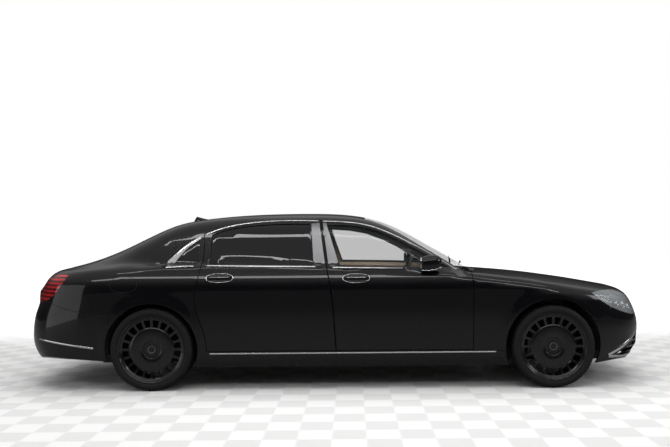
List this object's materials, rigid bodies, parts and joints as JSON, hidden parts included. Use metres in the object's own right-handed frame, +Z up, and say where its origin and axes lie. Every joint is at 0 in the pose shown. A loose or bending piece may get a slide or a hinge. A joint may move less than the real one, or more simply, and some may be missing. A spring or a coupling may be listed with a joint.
{
  "type": "luxury sedan",
  "caption": "Long-wheelbase luxury sedan with hinged doors, bonnet and boot lid, steered front wheels, disc wheels, glazed cabin, seats and dashboard.",
  "frame": {"origin": "on the ground, under the middle of the car's length and width", "axes": "+X to the front of the car, +Y to its left side, +Z up"},
  "size_m": [5.4643, 1.904, 1.4974],
  "materials": {
    "paint": "gloss black paint",
    "trim": "dark trim and inner panels",
    "glass": "tinted glass",
    "lamp": "clear lamp cover",
    "red_lamp": "red lamp cover",
    "chrome": "chromed grille",
    "leather": "beige leather",
    "steel": "cast and pressed steel",
    "rim": "gloss black alloy",
    "tyre": "black rubber"
  },
  "bodies": {
    "body": {"body_side_left": "paint", "body_side_right": "paint", "fender_left": "paint", "fender_right": "paint", "roof": "paint", "front_bumper": "paint", "rear_bumper": "paint", "windscreen": "glass", "rear_screen": "glass", "quarter_glass_left": "glass", "quarter_glass_right": "glass", "headlamp_left": "lamp", "headlamp_right": "lamp", "tail_lamp_left": "red_lamp", "tail_lamp_right": "red_lamp", "tub": "trim", "dashboard": "trim", "grille": "chrome", "front_seat_left": "leather", "front_seat_right": "leather", "rear_seat": "leather", "engine": "steel", "exhaust": "steel", "front_subframe": "steel", "rear_subframe": "steel", "cowl_panel": "trim"},
    "front_door_left": {"front_door_left": "paint", "front_door_glass_left": "glass"},
    "front_door_right": {"front_door_right": "paint", "front_door_glass_right": "glass"},
    "rear_door_left": {"rear_door_left": "paint", "rear_door_glass_left": "glass"},
    "rear_door_right": {"rear_door_right": "paint", "rear_door_glass_right": "glass"},
    "bonnet": {"bonnet": "paint"},
    "boot_lid": {"boot_lid": "paint"},
    "steering_wheel": {"steering_wheel": "trim"},
    "knuckle_left": {"knuckle_left": "steel"},
    "knuckle_right": {"knuckle_right": "steel"},
    "wheel_front_left": {"rim_front_left": "rim", "tyre_front_left": "tyre"},
    "wheel_front_right": {"rim_front_right": "rim", "tyre_front_right": "tyre"},
    "wheel_rear_left": {"rim_rear_left": "rim", "tyre_rear_left": "tyre"},
    "wheel_rear_right": {"rim_rear_right": "rim", "tyre_rear_right": "tyre"}
  },
  "joints": [
    {"name": "front_door_left_hinge", "type": "hinge", "parent": "body", "child": "front_door_left", "pos_m": [1.0667, 0.9205, 0.67], "axis": [0, 0, -1], "range_deg": [0, 60]},
    {"name": "rear_door_left_hinge", "type": "hinge", "parent": "body", "child": "rear_door_left", "pos_m": [-0.1015, 0.9205, 0.67], "axis": [0, 0, -1], "range_deg": [0, 60]},
    {"name": "front_door_right_hinge", "type": "hinge", "parent": "body", "child": "front_door_right", "pos_m": [1.0667, -0.9205, 0.67], "axis": [0, 0, 1], "range_deg": [0, 60]},
    {"name": "rear_door_right_hinge", "type": "hinge", "parent": "body", "child": "rear_door_right", "pos_m": [-0.1015, -0.9205, 0.67], "axis": [0, 0, 1], "range_deg": [0, 60]},
    {"name": "bonnet_hinge", "type": "hinge", "parent": "body", "child": "bonnet", "pos_m": [1.06, 0, 0.94], "axis": [0, -1, 0], "range_deg": [0, 48]},
    {"name": "boot_lid_hinge", "type": "hinge", "parent": "body", "child": "boot_lid", "pos_m": [-1.947, 0, 1.03], "axis": [0, 1, 0], "range_deg": [0, 76]},
    {"name": "steer_left", "type": "hinge", "parent": "body", "child": "knuckle_left", "pos_m": [1.818, 0.737, 0.345], "axis": [0, 0, 1], "range_deg": [-35, 35]},
    {"name": "steer_right", "type": "hinge", "parent": "body", "child": "knuckle_right", "pos_m": [1.818, -0.737, 0.345], "axis": [0, 0, 1], "range_deg": [-35, 35]},
    {"name": "steering_wheel_turn", "type": "hinge", "parent": "body", "child": "steering_wheel", "pos_m": [0.66, 0.37, 0.9], "axis": [-0.9063, 0, 0.4226], "range_deg": [-350, 350]},
    {"name": "wheel_front_left_spin", "type": "hinge", "parent": "knuckle_left", "child": "wheel_front_left", "pos_m": [1.818, 0.812, 0.345], "axis": [0, 1, 0], "continuous": true},
    {"name": "wheel_rear_left_spin", "type": "hinge", "parent": "body", "child": "wheel_rear_left", "pos_m": [-1.547, 0.803, 0.345], "axis": [0, 1, 0], "continuous": true},
    {"name": "wheel_front_right_spin", "type": "hinge", "parent": "knuckle_right", "child": "wheel_front_right", "pos_m": [1.818, -0.812, 0.345], "axis": [0, 1, 0], "continuous": true},
    {"name": "wheel_rear_right_spin", "type": "hinge", "parent": "body", "child": "wheel_rear_right", "pos_m": [-1.547, -0.803, 0.345], "axis": [0, 1, 0], "continuous": true}
  ],
  "couplings": [
    {"joint": "steer_right", "follows": "steer_left", "ratio": 1},
    {"joint": "steering_wheel_turn", "follows": "steer_left", "ratio": 10}
  ]
}
